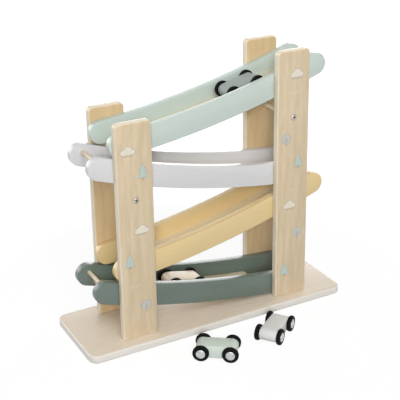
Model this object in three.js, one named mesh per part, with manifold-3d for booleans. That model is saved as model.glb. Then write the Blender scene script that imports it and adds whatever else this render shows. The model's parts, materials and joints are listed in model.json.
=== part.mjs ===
// Wooden car track: four curved tracks between two pairs of posts on a base plate, and four small cars.
// Millimetres. X runs along the base, Y away from the front, Z up; the origin is the middle of the underside.
import * as THREE from "three";
import { mergeVertices } from "three/addons/utils/BufferGeometryUtils.js";
import Module from "manifold-3d";

// Base plate and posts.
const BASE_LENGTH = 360;
const BASE_WIDTH = 116;
const BASE_THICKNESS = 10;
const BASE_CORNER_RADIUS = 12;
const POST_WIDTH = 46;
const POST_THICKNESS = 10;
const POST_INSET = 71.8;
const POST_GAP = 65;
const SHORT_POST_HEIGHT = 276;
const TALL_POST_HEIGHT = 330;
const POST_CORNER_RADIUS = 6;
const POST_FOOT_TRIM = 10;
const EDGE_ROUND = 2;

// Tracks: each rail's top edge is an arc whose lowest point lies under the arc's centre.
const TRACK_RADIUS = 1100;
const RAIL_HEIGHT = 28;
const RAIL_THICKNESS = 10;
const RAIL_EDGE_ROUND = 1.2;
const RAIL_LOWER_OVERHANG = 11.8;
const RAIL_UPPER_OVERHANG = 38.8;
const FLOOR_DEPTH = 19.3;
const FLOOR_THICKNESS = 4;
const FLOOR_LOWER_SETBACK = 32.2;
const FLOOR_UPPER_OVERHANG = 31.8;
const GROOVE_DEPTH = 3;
const DOWEL_DEPTH = 10;
const DOWEL_RADIUS = 2.5;
const DOWEL_SEAT = 5;

// Lowest point of each track's arc, on the rail's top edge; the track runs down to that side.
const MINT_LOW_X = -224;
const MINT_LOW_Z = 265.2;
const WHITE_LOW_X = 213;
const WHITE_LOW_Z = 187.3;
const YELLOW_LOW_X = -223.5;
const YELLOW_LOW_Z = 106.3;
const GREEN_LOW_X = 192;
const GREEN_LOW_Z = 36;

// Spacer rods and screws.
const ROD_RADIUS = 4;
const LEFT_ROD_Z = 191;
const RIGHT_ROD_Z = 255;
const SCREW_RADIUS = 1.75;
const SCREW_HEAD_RADIUS = 4;
const SCREW_HEAD_HEIGHT = 2.2;
const SCREW_LENGTH = 26;
const SCREW_POINT = 4;
const PAN_EDGE = 0.8;
const CROSS_LENGTH = 4.6;
const CROSS_WIDTH = 0.9;
const CROSS_DEPTH = 1.2;
const SINK_DEPTH = 0.5;
const SINK_HEIGHT = 2.6;
const SINK_EDGE = 0.4;

// Cars.
const WHEEL_RADIUS = 10;
const WHEEL_THICKNESS = 5;
const WHEEL_EDGE = 1.1;
const WHEELBASE = 35.3;
const CAR_WIDTH = 33.6;
const BODY_WIDTH = 23;
const BODY_END_RADIUS = 7.8;
const BODY_EDGE_ROUND = 0.8;
const HUB_RADIUS = 5.6;
const HUB_RECESS = 1.4;
const HUB_PROUD = 0.8;
const AXLE_RADIUS = 1.5;

// Places of the cars: angles on a track's arc, and spots and headings on the table.
const SAGE_ARC_ANGLE = 14.67;
const WOOD_ARC_ANGLE = -11.6;
const WOOD_OFF_MIDDLE = -4.2;
const MINT_SPOT_X = -41;
const MINT_SPOT_Y = -110.6;
const MINT_HEADING = -36.1;
const WHITE_SPOT_X = 43.7;
const WHITE_SPOT_Y = -105.9;
const WHITE_HEADING = 35.6;

// Slack between pieces that are let into or run on each other.
const GAP = 0.3;
const LONG_STEPS = 9;
const END_STEPS = 6;
const CAR_END_STEPS = 10;
const ROUND_STEPS = 2;

const COLOURS = {
  wood: 0xcbb798,
  base: 0xd7c8b6,
  mint: 0xbccbc5,
  white: 0xe2e2e1,
  yellow: 0xd8c292,
  green: 0x707f77,
  sage: 0xa0a8a3,
  carWood: 0xe0cbb0,
  carMint: 0xbfcdc2,
  carWhite: 0xdadad7,
  tyre: 0x1d2020,
  steel: 0xd0d4d6,
};

const wasm = await Module();
wasm.setup();

const POST_X = BASE_LENGTH / 2 - POST_INSET;
const RAIL_BOTTOM_RADIUS = TRACK_RADIUS + RAIL_HEIGHT;
const RAIL_MIDDLE_RADIUS = TRACK_RADIUS + RAIL_HEIGHT / 2;
const FLOOR_RADIUS = TRACK_RADIUS + FLOOR_DEPTH;
const INNER_FACE = POST_GAP / 2;
const OUTER_FACE = INNER_FACE + POST_THICKNESS;
const CHANNEL = INNER_FACE - RAIL_THICKNESS;

const TRACKS = [
  { centre: new THREE.Vector2(MINT_LOW_X, MINT_LOW_Z + TRACK_RADIUS), colour: COLOURS.mint },
  { centre: new THREE.Vector2(WHITE_LOW_X, WHITE_LOW_Z + TRACK_RADIUS), colour: COLOURS.white },
  { centre: new THREE.Vector2(YELLOW_LOW_X, YELLOW_LOW_Z + TRACK_RADIUS), colour: COLOURS.yellow },
  { centre: new THREE.Vector2(GREEN_LOW_X, GREEN_LOW_Z + TRACK_RADIUS), colour: COLOURS.green },
];

const root = new THREE.Group();

function add(parent, name, geometry, colour, roughness = 0.75, metalness = 0) {
  const material = new THREE.MeshStandardMaterial({ color: colour, roughness, metalness });
  const mesh = new THREE.Mesh(geometry, material);
  mesh.name = name;
  parent.add(mesh);
  return mesh;
}

function toSolid(geometry) {
  const loose = geometry.index ? geometry.toNonIndexed() : geometry;
  const bare = new THREE.BufferGeometry();
  bare.setAttribute("position", loose.getAttribute("position"));
  const merged = mergeVertices(bare, 1e-4);
  const mesh = new wasm.Mesh({
    numProp: 3,
    vertProperties: merged.attributes.position.array,
    triVerts: new Uint32Array(merged.index.array),
  });
  return new wasm.Manifold(mesh);
}

function toGeometry(solid) {
  const mesh = solid.getMesh();
  const geometry = new THREE.BufferGeometry();
  geometry.setAttribute("position", new THREE.BufferAttribute(mesh.vertProperties, 3));
  geometry.setIndex(new THREE.BufferAttribute(mesh.triVerts, 1));
  return geometry;
}

function cut(geometry, tools) {
  const solid = tools.reduce((left, tool) => left.subtract(toSolid(tool)), toSolid(geometry));
  return toGeometry(solid);
}

// Points of an arc; angles count from straight down, towards +X.
function arc(centre, radius, from, to, steps) {
  const points = [];
  for (let i = 0; i <= steps; i++) {
    const angle = from + ((to - from) * i) / steps;
    const x = centre.x + radius * Math.sin(angle);
    const y = centre.y - radius * Math.cos(angle);
    points.push(new THREE.Vector2(x, y));
  }
  return points;
}

// Solid from an outline in the XZ plane, between two values of y, its edges rounded over.
function board(outline, front, back, round) {
  const geometry = new THREE.ExtrudeGeometry(outline, {
    depth: back - front - 2 * round,
    bevelEnabled: round > 0,
    bevelThickness: round,
    bevelSize: round,
    bevelOffset: -round,
    bevelSegments: ROUND_STEPS,
  });
  geometry.rotateX(Math.PI / 2);
  geometry.translate(0, back - round, 0);
  return geometry;
}

function turned(profile, segments) {
  return new THREE.LatheGeometry(
    profile.map(([radius, y]) => new THREE.Vector2(radius, y)),
    segments,
  );
}

function barAlongY(radius, front, back, segments) {
  const geometry = new THREE.CylinderGeometry(radius, radius, back - front, segments);
  geometry.translate(0, (front + back) / 2, 0);
  return geometry;
}

// Angle on a track's arc of the place at x on the circle of the given radius.
function angleAt(track, x, radius) {
  return Math.asin((x - track.centre.x) / radius);
}

function onTrack(track, radius, angle) {
  return arc(track.centre, radius, angle, angle, 1)[0];
}

// Countersunk base screws stand on their points, heads down; holes around them keep the slack.
function baseScrew() {
  const screw = turned(
    [
      [0, -SCREW_LENGTH],
      [SCREW_RADIUS, -SCREW_LENGTH + SCREW_POINT],
      [SCREW_RADIUS, -SINK_HEIGHT],
      [SCREW_HEAD_RADIUS, -SINK_EDGE],
      [SCREW_HEAD_RADIUS, 0],
      [0, 0],
    ],
    10,
  );
  const cross = [
    new THREE.BoxGeometry(CROSS_LENGTH, 2 * CROSS_DEPTH, CROSS_WIDTH),
    new THREE.BoxGeometry(CROSS_WIDTH, 2 * CROSS_DEPTH, CROSS_LENGTH),
  ];
  return cut(screw, cross).rotateX(-Math.PI / 2).translate(0, 0, SINK_DEPTH);
}

function baseScrewHole() {
  const hole = turned(
    [
      [0, -SCREW_LENGTH - GAP],
      [SCREW_RADIUS + GAP, -SCREW_LENGTH + SCREW_POINT - GAP],
      [SCREW_RADIUS + GAP, -SINK_HEIGHT],
      [SCREW_HEAD_RADIUS + GAP, -SINK_EDGE],
      [SCREW_HEAD_RADIUS + GAP, 2 * SINK_DEPTH],
      [0, 2 * SINK_DEPTH],
    ],
    10,
  );
  return hole.rotateX(-Math.PI / 2).translate(0, 0, SINK_DEPTH);
}

// Pan-head screw with its head on the plane y = 0, outside being +Y.
function spacerScrew() {
  const screw = turned(
    [
      [0, -SCREW_LENGTH],
      [SCREW_RADIUS, -SCREW_LENGTH + SCREW_POINT],
      [SCREW_RADIUS, 0],
      [SCREW_HEAD_RADIUS, 0],
      [SCREW_HEAD_RADIUS, PAN_EDGE],
      [0.72 * SCREW_HEAD_RADIUS, 0.85 * SCREW_HEAD_HEIGHT],
      [0, SCREW_HEAD_HEIGHT],
    ],
    12,
  );
  const cross = [
    new THREE.BoxGeometry(CROSS_LENGTH, 2 * CROSS_DEPTH, CROSS_WIDTH),
    new THREE.BoxGeometry(CROSS_WIDTH, 2 * CROSS_DEPTH, CROSS_LENGTH),
  ];
  cross.forEach((slot) => slot.translate(0, SCREW_HEAD_HEIGHT, 0));
  return cut(screw, cross);
}

const POSTS = [
  { name: "front_left", x: -POST_X, side: -1, height: SHORT_POST_HEIGHT, rodZ: LEFT_ROD_Z },
  { name: "back_left", x: -POST_X, side: 1, height: SHORT_POST_HEIGHT, rodZ: LEFT_ROD_Z },
  { name: "front_right", x: POST_X, side: -1, height: TALL_POST_HEIGHT, rodZ: RIGHT_ROD_Z },
  { name: "back_right", x: POST_X, side: 1, height: TALL_POST_HEIGHT, rodZ: RIGHT_ROD_Z },
];
const POST_MIDDLE_Y = (INNER_FACE + OUTER_FACE) / 2;

// Base plate.
function basePlate() {
  const x = BASE_LENGTH / 2 - BASE_CORNER_RADIUS;
  const y = BASE_WIDTH / 2 - BASE_CORNER_RADIUS;
  const corner = (cx, cy, from) =>
    arc(new THREE.Vector2(cx, cy), BASE_CORNER_RADIUS, from, from + Math.PI / 2, END_STEPS);
  const outline = new THREE.Shape([
    ...corner(x, -y, 0),
    ...corner(x, y, Math.PI / 2),
    ...corner(-x, y, Math.PI),
    ...corner(-x, -y, 1.5 * Math.PI),
  ]);
  const plate = new THREE.ExtrudeGeometry(outline, {
    depth: BASE_THICKNESS - 2 * EDGE_ROUND,
    bevelThickness: EDGE_ROUND,
    bevelSize: EDGE_ROUND,
    bevelOffset: -EDGE_ROUND,
    bevelSegments: ROUND_STEPS,
  });
  plate.translate(0, 0, EDGE_ROUND);
  const holes = POSTS.map((post) => baseScrewHole().translate(post.x, post.side * POST_MIDDLE_Y, 0));
  return cut(plate, holes);
}
add(root, "base_plate", basePlate(), COLOURS.base);

// Posts, each with a hole for its spacer screw and one in its foot.
function postBoard(post) {
  const top = BASE_THICKNESS + post.height;
  const foot = BASE_THICKNESS - POST_FOOT_TRIM;
  const half = POST_WIDTH / 2;
  const inset = half - POST_CORNER_RADIUS;
  const corner = (cx, from) =>
    arc(
      new THREE.Vector2(cx, top - POST_CORNER_RADIUS),
      POST_CORNER_RADIUS,
      from,
      from + Math.PI / 2,
      END_STEPS,
    );
  const outline = new THREE.Shape([
    new THREE.Vector2(post.x - half, foot),
    new THREE.Vector2(post.x + half, foot),
    ...corner(post.x + inset, Math.PI / 2),
    ...corner(post.x - inset, Math.PI),
  ]);
  const front = post.side < 0 ? -OUTER_FACE : INNER_FACE;
  const blank = board(outline, front, front + POST_THICKNESS, EDGE_ROUND);
  const below = new THREE.BoxGeometry(2 * POST_WIDTH, 4 * POST_THICKNESS, 2 * POST_FOOT_TRIM);
  below.translate(post.x, front, foot);
  const screwHole = barAlongY(SCREW_RADIUS + GAP, front - 1, front + POST_THICKNESS + 1, 12);
  screwHole.translate(post.x, 0, post.rodZ);
  const footHole = baseScrewHole().translate(post.x, post.side * POST_MIDDLE_Y, 0);
  return cut(blank, [below, screwHole, footHole]);
}
for (const post of POSTS) {
  add(root, `post_${post.name}`, postBoard(post), COLOURS.wood);
}

// Tracks: two rails, a floor in their grooves and a stop dowel at the upper end.
function railOutline(track) {
  const { centre, left, right } = track;
  const half = RAIL_HEIGHT / 2;
  const leftMiddle = onTrack(track, RAIL_MIDDLE_RADIUS, left);
  const rightMiddle = onTrack(track, RAIL_MIDDLE_RADIUS, right);
  return new THREE.Shape([
    ...arc(centre, RAIL_BOTTOM_RADIUS, left, right, LONG_STEPS),
    ...arc(rightMiddle, half, right, right + Math.PI, END_STEPS).slice(1, -1),
    ...arc(centre, TRACK_RADIUS, right, left, LONG_STEPS),
    ...arc(leftMiddle, half, left + Math.PI, left + 2 * Math.PI, END_STEPS).slice(1, -1),
  ]);
}

function floorOutline(track, slack) {
  const from = track.floorLeft - slack / FLOOR_RADIUS;
  const to = track.floorRight + slack / FLOOR_RADIUS;
  return new THREE.Shape([
    ...arc(track.centre, FLOOR_RADIUS + FLOOR_THICKNESS + slack, from, to, LONG_STEPS),
    ...arc(track.centre, FLOOR_RADIUS - slack, to, from, LONG_STEPS),
  ]);
}

TRACKS.forEach((track, index) => {
  const number = index + 1;
  const down = Math.sign(track.centre.x);
  const railEnds = [down * (POST_X + RAIL_LOWER_OVERHANG), -down * (POST_X + RAIL_UPPER_OVERHANG)];
  const floorEnds = [down * (POST_X - FLOOR_LOWER_SETBACK), -down * (POST_X + FLOOR_UPPER_OVERHANG)];
  track.left = angleAt(track, Math.min(...railEnds), RAIL_MIDDLE_RADIUS);
  track.right = angleAt(track, Math.max(...railEnds), RAIL_MIDDLE_RADIUS);
  track.floorLeft = angleAt(track, Math.min(...floorEnds), FLOOR_RADIUS);
  track.floorRight = angleAt(track, Math.max(...floorEnds), FLOOR_RADIUS);

  const upper = down < 0 ? track.right : track.left;
  const dowelPlace = onTrack(track, TRACK_RADIUS + DOWEL_DEPTH, upper);
  const rail = railOutline(track);
  const grooveReach = CHANNEL + GROOVE_DEPTH + GAP;
  const seatReach = CHANNEL + DOWEL_SEAT + GAP;
  for (const [name, front] of [["front", -INNER_FACE], ["back", CHANNEL]]) {
    const groove = board(floorOutline(track, GAP), -grooveReach, grooveReach, 0);
    const seat = barAlongY(DOWEL_RADIUS + GAP, -seatReach, seatReach, 12);
    seat.translate(dowelPlace.x, 0, dowelPlace.y);
    const blank = board(rail, front, front + RAIL_THICKNESS, RAIL_EDGE_ROUND);
    add(root, `rail_${number}_${name}`, cut(blank, [groove, seat]), track.colour, 0.55);
  }

  const floorHalf = CHANNEL + GROOVE_DEPTH;
  const floor = board(floorOutline(track, 0), -floorHalf, floorHalf, 0);
  add(root, `floor_${number}`, floor, COLOURS.wood);
  const dowel = barAlongY(DOWEL_RADIUS, -CHANNEL - DOWEL_SEAT, CHANNEL + DOWEL_SEAT, 12);
  dowel.translate(dowelPlace.x, 0, dowelPlace.y);
  add(root, `stop_dowel_${number}`, dowel, COLOURS.wood);
});

// Spacer rods between the posts, and the screws that hold them.
for (const [name, x, z] of [["left", -POST_X, LEFT_ROD_Z], ["right", POST_X, RIGHT_ROD_Z]]) {
  const depth = SCREW_LENGTH - POST_THICKNESS + 1;
  const bar = barAlongY(ROD_RADIUS, -INNER_FACE, INNER_FACE, 16);
  const frontHole = barAlongY(SCREW_RADIUS + GAP, -INNER_FACE - 1, -INNER_FACE + depth, 12);
  const backHole = barAlongY(SCREW_RADIUS + GAP, INNER_FACE - depth, INNER_FACE + 1, 12);
  add(root, `spacer_rod_${name}`, cut(bar, [frontHole, backHole]).translate(x, 0, z), COLOURS.wood);
}
for (const post of POSTS) {
  const screw = spacerScrew();
  if (post.side < 0) {
    screw.rotateX(Math.PI);
  }
  screw.translate(post.x, post.side * OUTER_FACE, post.rodZ);
  add(root, `spacer_screw_${post.name}`, screw, COLOURS.steel, 0.35, 1);
  const below = baseScrew().translate(post.x, post.side * POST_MIDDLE_Y, 0);
  add(root, `base_screw_${post.name}`, below, COLOURS.steel, 0.35, 1);
}

// Cars: X ahead, Y to the left, Z up from the ground under the middle.
const WHEEL_Y = CAR_WIDTH / 2 - WHEEL_THICKNESS / 2;

function carBody() {
  const axles = [WHEELBASE / 2, -WHEELBASE / 2];
  const ends = axles.map((x) => new THREE.Vector2(x, WHEEL_RADIUS));
  const outline = new THREE.Shape([
    ...arc(ends[0], BODY_END_RADIUS, 0, Math.PI, CAR_END_STEPS),
    ...arc(ends[1], BODY_END_RADIUS, Math.PI, 2 * Math.PI, CAR_END_STEPS),
  ]);
  const block = board(outline, -BODY_WIDTH / 2, BODY_WIDTH / 2, BODY_EDGE_ROUND);
  const bores = axles.map((x) =>
    barAlongY(AXLE_RADIUS + GAP, -BODY_WIDTH, BODY_WIDTH, 12).translate(x, 0, WHEEL_RADIUS),
  );
  return cut(block, bores);
}

// Wheel about the Y axis, outer face towards +Y, with a recess for the axle's cap.
function wheel() {
  const face = WHEEL_THICKNESS / 2;
  const bore = AXLE_RADIUS + GAP;
  const seat = HUB_RADIUS + GAP;
  return turned(
    [
      [bore, -face],
      [WHEEL_RADIUS - WHEEL_EDGE, -face],
      [WHEEL_RADIUS, -face + WHEEL_EDGE],
      [WHEEL_RADIUS, face - WHEEL_EDGE],
      [WHEEL_RADIUS - WHEEL_EDGE, face],
      [seat, face],
      [seat, face - HUB_RECESS],
      [bore, face - HUB_RECESS],
      [bore, -face],
    ],
    16,
  );
}

function axle() {
  const seat = CAR_WIDTH / 2 - HUB_RECESS + GAP;
  const rim = CAR_WIDTH / 2;
  const crown = rim + HUB_PROUD;
  return turned(
    [
      [0, -crown],
      [0.65 * HUB_RADIUS, -crown + 0.25 * HUB_PROUD],
      [HUB_RADIUS, -rim],
      [HUB_RADIUS, -seat],
      [AXLE_RADIUS, -seat],
      [AXLE_RADIUS, seat],
      [HUB_RADIUS, seat],
      [HUB_RADIUS, rim],
      [0.65 * HUB_RADIUS, crown - 0.25 * HUB_PROUD],
      [0, crown],
    ],
    12,
  );
}

function addCar(name, colour) {
  const car = new THREE.Group();
  root.add(car);
  add(car, `${name}_body`, carBody(), colour, 0.5);
  for (const [end, x] of [["front", WHEELBASE / 2], ["rear", -WHEELBASE / 2]]) {
    add(car, `${name}_${end}_axle`, axle().translate(x, 0, WHEEL_RADIUS), COLOURS.steel, 0.3, 1);
    for (const [hand, side] of [["left", 1], ["right", -1]]) {
      const ring = wheel();
      if (side < 0) {
        ring.rotateX(Math.PI);
      }
      ring.translate(x, side * WHEEL_Y, WHEEL_RADIUS);
      add(car, `${name}_${end}_wheel_${hand}`, ring, COLOURS.tyre, 0.8);
    }
  }
  return car;
}

// Car in a track, its middle at an angle of the track's arc; ahead is towards +X.
function standInTrack(car, track, angle, y) {
  const wheelPath = FLOOR_RADIUS - GAP - WHEEL_RADIUS;
  const middle = Math.sqrt(wheelPath ** 2 - (WHEELBASE / 2) ** 2) + WHEEL_RADIUS;
  const place = onTrack(track, middle, angle);
  car.position.set(place.x, y, place.y);
  car.rotation.y = -angle;
}

function standOnTable(car, x, y, heading) {
  car.position.set(x, y, GAP);
  car.rotation.z = heading;
}

const degrees = THREE.MathUtils.degToRad;
standInTrack(addCar("car_sage", COLOURS.sage), TRACKS[0], degrees(SAGE_ARC_ANGLE), 0);
standInTrack(addCar("car_wood", COLOURS.carWood), TRACKS[3], degrees(WOOD_ARC_ANGLE), WOOD_OFF_MIDDLE);
standOnTable(addCar("car_mint", COLOURS.carMint), MINT_SPOT_X, MINT_SPOT_Y, degrees(MINT_HEADING));
standOnTable(addCar("car_white", COLOURS.carWhite), WHITE_SPOT_X, WHITE_SPOT_Y, degrees(WHITE_HEADING));

export default root;
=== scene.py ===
"""Wooden car track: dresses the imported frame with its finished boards, rails, cars and prints."""

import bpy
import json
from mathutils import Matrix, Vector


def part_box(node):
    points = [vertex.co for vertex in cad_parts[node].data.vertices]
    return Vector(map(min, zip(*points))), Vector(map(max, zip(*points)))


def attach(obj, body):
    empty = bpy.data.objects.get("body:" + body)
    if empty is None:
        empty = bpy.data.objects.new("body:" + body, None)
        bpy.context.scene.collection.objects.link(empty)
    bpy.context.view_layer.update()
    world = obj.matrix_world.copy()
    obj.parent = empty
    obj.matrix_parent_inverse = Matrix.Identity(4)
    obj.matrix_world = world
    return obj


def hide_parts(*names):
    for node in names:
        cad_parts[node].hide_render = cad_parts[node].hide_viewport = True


bl_info = {
    "name": "Wooden Car Track",
    "version": (1, 0, 0),
    "blender": (4, 5, 0),
    "location": "View3D > Sidebar > Car Track",
    "description": "Builds the boards, curved rails, cars and prints of a wooden car track",
    "category": "Add Mesh",
}

import json
import math

import bmesh
import bpy
from bpy.props import FloatProperty, FloatVectorProperty, PointerProperty
from mathutils import Euler, Matrix, Vector

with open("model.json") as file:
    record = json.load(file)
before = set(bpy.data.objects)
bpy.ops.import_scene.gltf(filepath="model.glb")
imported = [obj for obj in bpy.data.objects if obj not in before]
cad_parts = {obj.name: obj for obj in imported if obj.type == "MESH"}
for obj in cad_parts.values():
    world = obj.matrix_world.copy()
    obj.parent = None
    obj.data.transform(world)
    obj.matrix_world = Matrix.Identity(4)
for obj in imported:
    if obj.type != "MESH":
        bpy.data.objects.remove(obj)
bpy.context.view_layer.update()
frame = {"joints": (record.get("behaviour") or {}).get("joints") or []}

MM = 0.001
QUARTER = math.pi / 2
BODY = "track"
POSTS = ("front_left", "back_left", "front_right", "back_right")
CARS = ("sage", "wood", "mint", "white")
ENDS = ("front", "rear")
HANDS = ("left", "right")

# Lowest points of the four tracks' top edges, x and z in millimetres; a track runs down towards its own.
TRACK_LOWS = ((-224.0, 265.2), (213.0, 187.3), (-223.5, 106.3), (192.0, 36.0))

# Places of the printed motifs: post, millimetres off the post's middle, millimetres above the ground.
PINES = (("front_left", 10, 214), ("front_left", -11, 104), ("front_right", 8, 186), ("front_right", -10, 38))
ROUND_TREES = (("front_left", 8, 42), ("front_right", -10, 218), ("front_right", 9, 88))
CLOUDS = (("front_left", -8, 248), ("front_left", 6, 148), ("front_right", 4, 306), ("front_right", -4, 134))
DOT_ROWS = (("front_left", -4, 80), ("front_right", 2, 158), ("front_right", 0, 286))

# The picture's camera: its width, focal length and principal point in pixels, its angles in degrees and
# its place in millimetres.
PICTURE = 400
FOCAL = 976.511
PRINCIPAL = (203.9, 150.7)
YAW = 28.41
PITCH = 20.3
ROLL = -0.845
EYE = (-532.499, -993.808, 634.992)
SENSOR = 36.0

# Soft lights: name, place and width in metres, and watts. All look at the middle of the object.
LIGHTS = (
    ("Front light", (-0.7, -3.1, 3.0), 2.6, 85),
    ("Fill light", (-2.16, -4.05, 2.0), 1.2, 103),
    ("Back light", (-1.8, 3.2, 0.9), 2.4, 55),
    ("Right light", (3.2, 0.8, 1.0), 2.0, 18),
)
LIGHT_AIM = (0.0, 0.0, 0.15)

# The paper sweep: half its width and its thickness in metres, the strength of its burnt-out white, the shares
# of that white near the object and far from it, and the distances in metres between which it grows.
SWEEP_HALF = 6.0
SWEEP_DEPTH = 2 * MM
SWEEP_GLOW = 1.24
BURN_SHARES = (0.72, 1.0)
BURN_REACH = (0.3, 0.7)

# The studio's white: its strength as soft light and to the camera, then in reflections of what is in front of
# the object, of the wall behind it and of a lit panel on that wall. The wall is reached at a slant along Y.
# The panel has its direction, and the cosines off that direction between which it fades in.
ROOM_LEVELS = (0.3, 1.0)
FRONT_LEVEL = 0.6
WALL_LEVEL = 1.3
WALL_SLANT = 0.45
PANEL_LEVEL = 5.0
PANEL_WAY = (0.536, 0.826, 0.174)
PANEL_EDGE = (0.95, 0.985)

# Real sizes of the patterns in the finishes. Wood fibres are too fine for the picture, so they are drawn as
# coarse as they need to show.
FIBRE = 1.2 * MM
FIBRE_UNDER_PAINT = 1.5 * MM
FIBRE_UNDER_INK = 0.9 * MM
FIBRE_SWAY = 60 * MM
WOOD_BAND = 9 * MM
GROWTH_LINE = 11 * MM
SPRAY_CLOUD = 14 * MM
PLATING_CLOUD = 2 * MM
RUBBER_GRAIN = 0.5 * MM

# Roughness of the finishes, where they are glossiest and where they are dullest.
WOOD_GLOSS = (0.36, 0.5)
RAIL_GLOSS = (0.27, 0.36)
CAR_GLOSS = (0.55, 0.68)
RUBBER_GLOSS = (0.62, 0.78)
STEEL_GLOSS = (0.3, 0.48)
SCREW_GLOSS = (0.5, 0.62)
INK_GLOSS = (0.5, 0.62)

# Scale of each pattern along the grain as a share of its scale across, so that it runs long.
FIBRE_RUN = 0.04
BAND_RUN = 0.12
GROWTH_RUN = 0.22
SPRAY_RUN = 0.4
INK_RUN = 0.08

# How far the wood's fibres and bands swing off the straight grain.
FIBRE_SWING = 6 * MM
BAND_SWING = 14 * MM

# The wood's figure is its fibres times its bands, lifted a little, and a share of the growth lines. A paint's
# is the fibres under it and a share of the spray's clouds.
FIGURE_LIFT = 0.21
GROWTH_SHARE = 0.06
SPRAY_SHARE = 0.7

# Values of a pattern at which its first and its last tone are reached. A board's edges and sides, painted
# paler as a highlight, turn into its broad face as the normal comes near to the axis.
FIGURE_REACH = (0.34, 0.62)
BROAD_REACH = (0.8, 0.99)
PAINT_REACH = (0.5, 1.2)
RUBBER_REACH = (0.3, 0.7)
PLATING_REACH = (0.3, 0.6)

# Darkest and lightest levels of a paint and of an ink, and the level of a plating's dull clouds.
PAINT_LEVELS = (0.975, 1.025)
INK_LEVELS = (0.86, 1.12)
DULL_LEVEL = 0.68

# Strength and depth of the reliefs, and the refraction of the finishes. The rubber's is under its typical
# value, since its fine grain takes most of the shine away.
WOOD_RELIEF = (0.2, 0.05 * MM)
PAINT_RELIEF = (0.03, 0.02 * MM)
RUBBER_RELIEF = (0.3, 0.05 * MM)
LACQUER_IOR = 1.45
PAINT_IOR = 1.5
RUBBER_IOR = 1.22

# Steps along rounded outlines and round turned pieces, enough to look smooth up close.
BASE_CORNER_STEPS = 10
POST_CORNER_STEPS = 8
RAIL_POINTS = 49
RAIL_END_POINTS = 25
FLOOR_STEPS = 48
CAR_END_STEPS = 24
SHOULDER_STEPS = 6
CAP_STEPS = 8
PAN_STEPS = 6
BAR_SEGMENTS = 32
SCREW_SEGMENTS = 32
AXLE_SEGMENTS = 48
WHEEL_SEGMENTS = 64
EDGE_STEPS = 3
FLOOR_EDGE_STEPS = 2
CROWN_STEPS = 36
PUFF_STEPS = 12
TOP_PUFF_STEPS = 18
DOT_STEPS = 16

# Angles in degrees over which an edge is rounded over, and over which it is shaded sharp.
ROUND_ANGLE = 40
SHARP_ANGLE = 35
TURNED_SHARP_ANGLE = 40

# Distances in metres within which points become one: of a mesh, of a rail's drawn outline and of its shell.
MESH_MERGE = 1e-7
OUTLINE_MERGE = 0.02 * MM
SHELL_MERGE = 0.001 * MM

# Turns of the screws' crosses in radians, each as its driver left it.
BASE_CROSS_TURN = 0.3
FRONT_CROSS_TURN = 0.25
BACK_CROSS_TURN = 0.4

# Shares of a cross recess's length and width that its dark sheet of painted shade takes.
RECESS_SHADE_SHARES = (0.96, 0.85)


def linear(code):
    """Linear colour with full alpha from an sRGB hex code."""
    values = [int(code[i : i + 2], 16) / 255 for i in (1, 3, 5)]
    return [v / 12.92 if v <= 0.04045 else ((v + 0.055) / 1.055) ** 2.4 for v in values] + [1.0]


def size(label, text, millimetres):
    """A length whose default is in millimetres."""
    return FloatProperty(
        name=label,
        description=text,
        default=millimetres * MM,
        min=0.0,
        unit="LENGTH",
        precision=5,
    )


def colour(label, text, code):
    """A colour whose default is an sRGB hex code."""
    return FloatVectorProperty(
        name=label,
        description=text,
        default=linear(code),
        size=4,
        subtype="COLOR",
        min=0.0,
        max=1.0,
    )


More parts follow.
